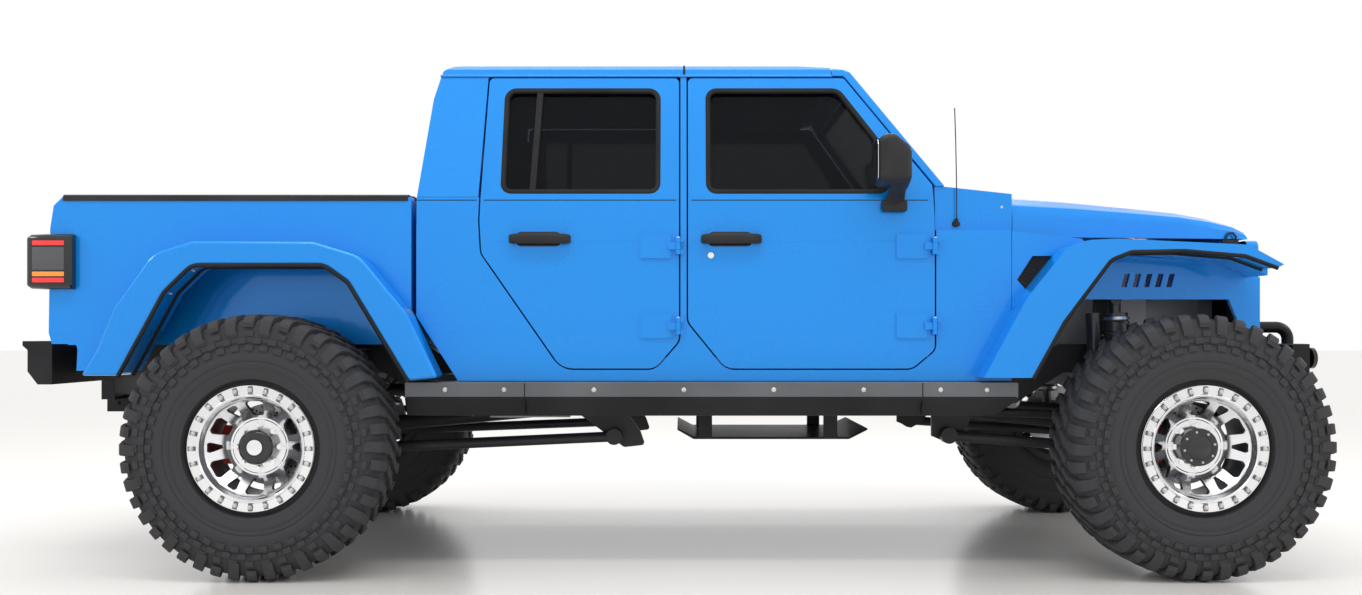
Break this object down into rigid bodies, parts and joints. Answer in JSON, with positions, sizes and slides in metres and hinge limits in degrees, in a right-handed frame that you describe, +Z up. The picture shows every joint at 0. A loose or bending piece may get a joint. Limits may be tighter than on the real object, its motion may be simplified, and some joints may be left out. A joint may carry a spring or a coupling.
{
  "type": "pickup truck",
  "caption": "Lifted off-road crew-cab pickup with beadlock wheels, solid axles, hard top and open bed.",
  "frame": {"origin": "middle of the bounding box, on the floor under the tyres", "axes": "+X forwards along the vehicle, +Y to its left, +Z up"},
  "size_m": [5.27, 2.15, 2.04],
  "materials": {
    "chassis_black": "satin",
    "engine_alloy": "cast, matte",
    "exhaust_steel": "satin",
    "armour_black": "textured satin",
    "coilover": "satin",
    "paint_blue": "gloss metallic",
    "window_glass": "polished, dark tint",
    "trim_black": "fine grain",
    "seat_fabric": "woven",
    "radiator_alloy": "satin",
    "lamp_bright": "clear, bright reflector",
    "knuckle_black": "satin",
    "steering_black": "satin",
    "steering_steel": "satin",
    "rim_alloy": "polished",
    "tyre_rubber": "matte"
  },
  "bodies": {
    "chassis": {"frame_rails": "chassis_black", "cross_members": "chassis_black", "engine_block": "engine_alloy", "gearbox": "engine_alloy", "drive_shafts": "chassis_black", "exhaust": "exhaust_steel", "fuel_tank": "chassis_black", "armour": "armour_black", "front_axle": "chassis_black", "rear_axle": "chassis_black", "suspension_links": "chassis_black", "coilovers": "coilover", "cab_tub": "paint_blue", "cowl": "paint_blue", "windshield_frame": "paint_blue", "fixed_glass": "window_glass", "hard_top": "paint_blue", "dashboard": "trim_black", "steering_wheel": "trim_black", "seats": "seat_fabric", "front_fenders": "paint_blue", "grille": "paint_blue", "radiator": "radiator_alloy", "headlamps": "lamp_bright", "front_bumper": "armour_black", "bed": "paint_blue", "rear_flares": "paint_blue", "tail_lamps": "trim_black", "rear_bumper": "armour_black"},
    "hood": {"hood": "paint_blue"},
    "tailgate": {"tailgate": "paint_blue"},
    "door_front_right": {"front_door_right": "paint_blue", "front_glass_right": "window_glass", "mirror_right": "trim_black"},
    "door_front_left": {"front_door_left": "paint_blue", "front_glass_left": "window_glass", "mirror_left": "trim_black"},
    "door_rear_right": {"rear_door_right": "paint_blue", "rear_glass_right": "window_glass"},
    "door_rear_left": {"rear_door_left": "paint_blue", "rear_glass_left": "window_glass"},
    "steer_right": {"knuckle_right": "knuckle_black"},
    "steer_left": {"knuckle_left": "knuckle_black"},
    "tie_rod": {"tie_rod": "steering_black"},
    "pitman_arm": {"pitman_arm": "steering_steel"},
    "wheel_front_right": {"rim_front_right": "rim_alloy", "tyre_front_right": "tyre_rubber"},
    "wheel_front_left": {"rim_front_left": "rim_alloy", "tyre_front_left": "tyre_rubber"},
    "wheel_rear_right": {"rim_rear_right": "rim_alloy", "tyre_rear_right": "tyre_rubber"},
    "wheel_rear_left": {"rim_rear_left": "rim_alloy", "tyre_rear_left": "tyre_rubber"}
  },
  "joints": [
    {"name": "hood_hinge", "type": "hinge", "parent": "chassis", "child": "hood", "pos_m": [1.307, 0, 1.506], "axis": [0, -1, 0], "range_deg": [0, 50]},
    {"name": "tailgate_hinge", "type": "hinge", "parent": "chassis", "child": "tailgate", "pos_m": [-2.494, 0, 0.936], "axis": [0, -1, 0], "range_deg": [0, 88]},
    {"name": "front_door_right_hinge", "type": "hinge", "parent": "chassis", "child": "door_front_right", "pos_m": [0.989, -0.82, 1.1], "axis": [0, 0, 1], "range_deg": [0, 70]},
    {"name": "front_door_left_hinge", "type": "hinge", "parent": "chassis", "child": "door_front_left", "pos_m": [0.989, 0.82, 1.1], "axis": [0, 0, -1], "range_deg": [0, 70]},
    {"name": "rear_door_right_hinge", "type": "hinge", "parent": "chassis", "child": "door_rear_right", "pos_m": [-0.022, -0.82, 1.1], "axis": [0, 0, 1], "range_deg": [0, 70]},
    {"name": "rear_door_left_hinge", "type": "hinge", "parent": "chassis", "child": "door_rear_left", "pos_m": [-0.022, 0.82, 1.1], "axis": [0, 0, -1], "range_deg": [0, 70]},
    {"name": "steer_right_pivot", "type": "hinge", "parent": "chassis", "child": "steer_right", "pos_m": [1.953, -0.69, 0.504], "axis": [0, 0, 1], "range_deg": [-26, 26]},
    {"name": "steer_left_pivot", "type": "hinge", "parent": "chassis", "child": "steer_left", "pos_m": [1.953, 0.69, 0.504], "axis": [0, 0, 1], "range_deg": [-26, 26]},
    {"name": "pitman_pivot", "type": "hinge", "parent": "chassis", "child": "pitman_arm", "pos_m": [1.953, 0.395, 0.69], "axis": [0, 0, 1], "range_deg": [-26, 26]},
    {"name": "tie_rod_ball", "type": "hinge", "parent": "steer_right", "child": "tie_rod", "pos_m": [2.143, -0.69, 0.589], "axis": [0, 0, 1], "range_deg": [-26, 26]},
    {"name": "wheel_front_right_spin", "type": "hinge", "parent": "steer_right", "child": "wheel_front_right", "pos_m": [1.953, -0.9035, 0.504], "axis": [0, 1, 0], "continuous": true},
    {"name": "wheel_front_left_spin", "type": "hinge", "parent": "steer_left", "child": "wheel_front_left", "pos_m": [1.953, 0.9035, 0.504], "axis": [0, 1, 0], "continuous": true},
    {"name": "wheel_rear_right_spin", "type": "hinge", "parent": "chassis", "child": "wheel_rear_right", "pos_m": [-1.623, -0.9035, 0.504], "axis": [0, 1, 0], "continuous": true},
    {"name": "wheel_rear_left_spin", "type": "hinge", "parent": "chassis", "child": "wheel_rear_left", "pos_m": [-1.623, 0.9035, 0.504], "axis": [0, 1, 0], "continuous": true}
  ],
  "couplings": [
    {"joint": "steer_left_pivot", "follows": "steer_right_pivot", "ratio": 1},
    {"joint": "pitman_pivot", "follows": "steer_right_pivot", "ratio": 1},
    {"joint": "tie_rod_ball", "follows": "steer_right_pivot", "ratio": -1}
  ]
}
